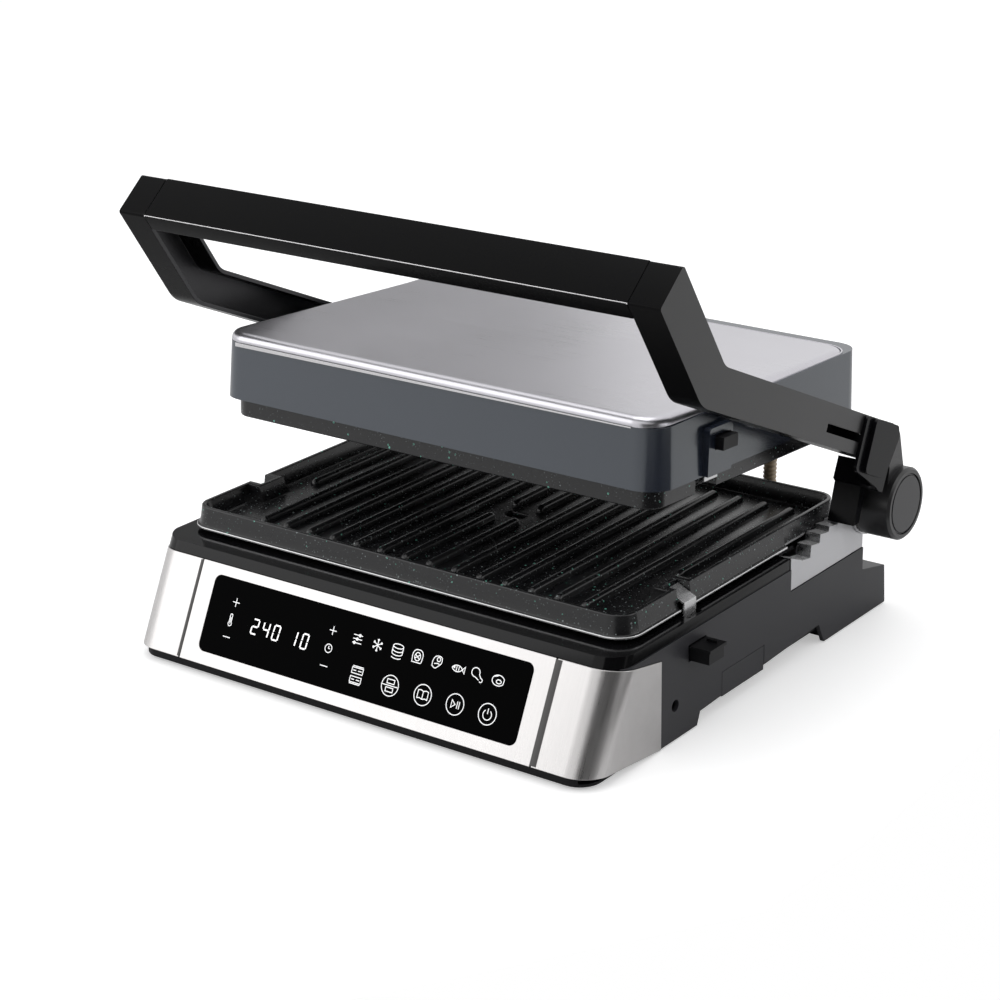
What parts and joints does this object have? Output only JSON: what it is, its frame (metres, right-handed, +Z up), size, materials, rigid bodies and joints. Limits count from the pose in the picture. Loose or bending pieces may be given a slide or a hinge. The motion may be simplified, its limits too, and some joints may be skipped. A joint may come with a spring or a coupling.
{
  "type": "electric indoor grill with hinged lid",
  "caption": "Contact grill with ribbed plates, a floating lid carried by a U-shaped handle on side hinges, a stepped height slider, a front touch panel and a side drip tray.",
  "frame": {"origin": "centre of the bounding box in plan, on the table the foot pads stand on", "axes": "+X to the user's right along the width, +Y to the back, +Z up"},
  "size_m": [0.394, 0.334, 0.288],
  "materials": {
    "housing_plastic": "satin charcoal moulding",
    "pan_plastic": "satin black moulding",
    "deck_gloss": "high gloss black moulding",
    "steel_skin": "fine brushed stainless sheet",
    "panel_glass": "polished black glass with white marks",
    "board": "green circuit board",
    "sheet_zinc": "satin pressed steel",
    "hardware": "plated pins, screws and discs",
    "heater_sheath": "heat-stained steel tube",
    "reflector": "bright rolled sheet",
    "sensor_white": "plain ceramic",
    "plate_coating": "speckled non-stick coating on cast aluminium",
    "arm_plastic": "satin dark grey moulding",
    "bar_black": "semi-gloss black",
    "button_gloss": "gloss black",
    "slider_black": "satin black",
    "lid_plastic": "gloss slate grey moulding",
    "hose": "bronze ribbed hose",
    "rubber": "black rubber",
    "spring_steel": "spring wire"
  },
  "bodies": {
    "base": {"base_housing": "housing_plastic", "base_pan": "pan_plastic", "top_deck": "deck_gloss", "front_frame": "pan_plastic", "front_fascia": "steel_skin", "corner_trim_left": "steel_skin", "corner_trim_right": "steel_skin", "touch_panel": "panel_glass", "panel_board": "board", "power_board": "board", "lower_heater": "heater_sheath", "lower_reflector": "reflector", "lower_sensor": "sensor_white", "plate_catch_left": "sheet_zinc", "hinge_bracket_right": "sheet_zinc", "hinge_bracket_left": "sheet_zinc", "hinge_pins": "hardware", "bracket_screws": "hardware", "base_screws": "hardware", "cord_gland": "rubber", "foot_pads": "rubber", "wiring_conduit": "hose", "conduit_collar_base": "pan_plastic"},
    "drip_tray": {"drip_tray": "pan_plastic"},
    "lower_plate": {"lower_plate": "plate_coating"},
    "plate_button": {"plate_button": "pan_plastic"},
    "plate_clip": {"plate_clip": "sheet_zinc"},
    "hinge_lock": {"lock_discs": "hardware"},
    "arms": {"right_arm": "arm_plastic", "left_arm": "arm_plastic", "handle_bar": "bar_black", "handle_underside": "pan_plastic", "handle_core": "hardware", "handle_screws": "hardware", "left_hub_cap": "button_gloss", "push_spring": "spring_steel"},
    "push_button": {"push_button": "button_gloss"},
    "height_slider": {"height_slider": "slider_black", "slider_keeper": "slider_black", "slider_screws": "hardware"},
    "lid_pivots": {"lid_pivot_pins": "hardware"},
    "lid": {"lid_skirt": "lid_plastic", "lid_cover": "steel_skin", "lid_frame": "pan_plastic", "upper_heater": "heater_sheath", "upper_reflector": "reflector", "upper_sensor": "sensor_white", "lid_screws": "hardware", "lid_catch_left": "sheet_zinc", "conduit_collar_lid": "pan_plastic"},
    "lid_button": {"lid_button": "pan_plastic"},
    "lid_clip": {"lid_clip": "sheet_zinc"},
    "upper_plate": {"upper_plate": "plate_coating"}
  },
  "joints": [
    {"name": "drip_tray_slide", "type": "slide", "parent": "base", "child": "drip_tray", "axis": [1, 0, 0], "range_m": [0, 0.15]},
    {"name": "lower_plate_lift", "type": "slide", "parent": "base", "child": "lower_plate", "axis": [0, 0, 1], "range_m": [0, 0.03]},
    {"name": "plate_button_press", "type": "slide", "parent": "base", "child": "plate_button", "axis": [-1, 0, 0], "range_m": [0, 0.0035], "stiffness_N_per_m": 400, "springref_m": -0.003},
    {"name": "plate_clip_swing", "type": "hinge", "parent": "base", "child": "plate_clip", "pos_m": [0.1644, -0.0568, 0.061], "axis": [0, 1, 0], "range_deg": [0, 15]},
    {"name": "fold_open", "type": "hinge", "parent": "base", "child": "hinge_lock", "pos_m": [0, 0.1407, 0.081], "axis": [-1, 0, 0], "range_deg": [0, 154.7], "deforming": ["wiring_conduit"]},
    {"name": "arm_lift", "type": "hinge", "parent": "hinge_lock", "child": "arms", "pos_m": [0, 0.1407, 0.081], "axis": [-1, 0, 0], "range_deg": [-19.62, 0]},
    {"name": "push_button_press", "type": "slide", "parent": "arms", "child": "push_button", "axis": [-1, 0, 0], "range_m": [0, 0.004], "stiffness_N_per_m": 500, "springref_m": -0.003, "deforming": ["push_spring"]},
    {"name": "height_slide", "type": "slide", "parent": "arms", "child": "height_slider", "axis": [0, -0.9135, 0.4067], "range_m": [0, 0.044]},
    {"name": "lid_level", "type": "hinge", "parent": "arms", "child": "lid_pivots", "pos_m": [0, 0.02977, 0.16203], "axis": [-1, 0, 0], "range_deg": [0, 16.17]},
    {"name": "lid_fold_tilt", "type": "hinge", "parent": "lid_pivots", "child": "lid", "pos_m": [0, 0.02977, 0.16203], "axis": [-1, 0, 0], "range_deg": [0, 22]},
    {"name": "lid_button_press", "type": "slide", "parent": "lid", "child": "lid_button", "axis": [-1, 0, 0], "range_m": [0, 0.003], "stiffness_N_per_m": 400, "springref_m": -0.003},
    {"name": "lid_clip_swing", "type": "hinge", "parent": "lid", "child": "lid_clip", "pos_m": [0.1587, -0.02697, 0.15142], "axis": [0, -0.9982, 0.0602], "range_deg": [0, 15]},
    {"name": "upper_plate_drop", "type": "slide", "parent": "lid", "child": "upper_plate", "axis": [0, -0.0602, -0.9982], "range_m": [0, 0.025]}
  ],
  "couplings": [
    {"joint": "arm_lift", "follows": "height_slide", "rad_per_m": -7.776},
    {"joint": "lid_level", "follows": "height_slide", "rad_per_m": 6.407},
    {"joint": "lid_fold_tilt", "follows": "fold_open", "ratio": 0.1409},
    {"joint": "plate_clip_swing", "follows": "plate_button_press", "rad_per_m": 70},
    {"joint": "lid_clip_swing", "follows": "lid_button_press", "rad_per_m": 80}
  ]
}
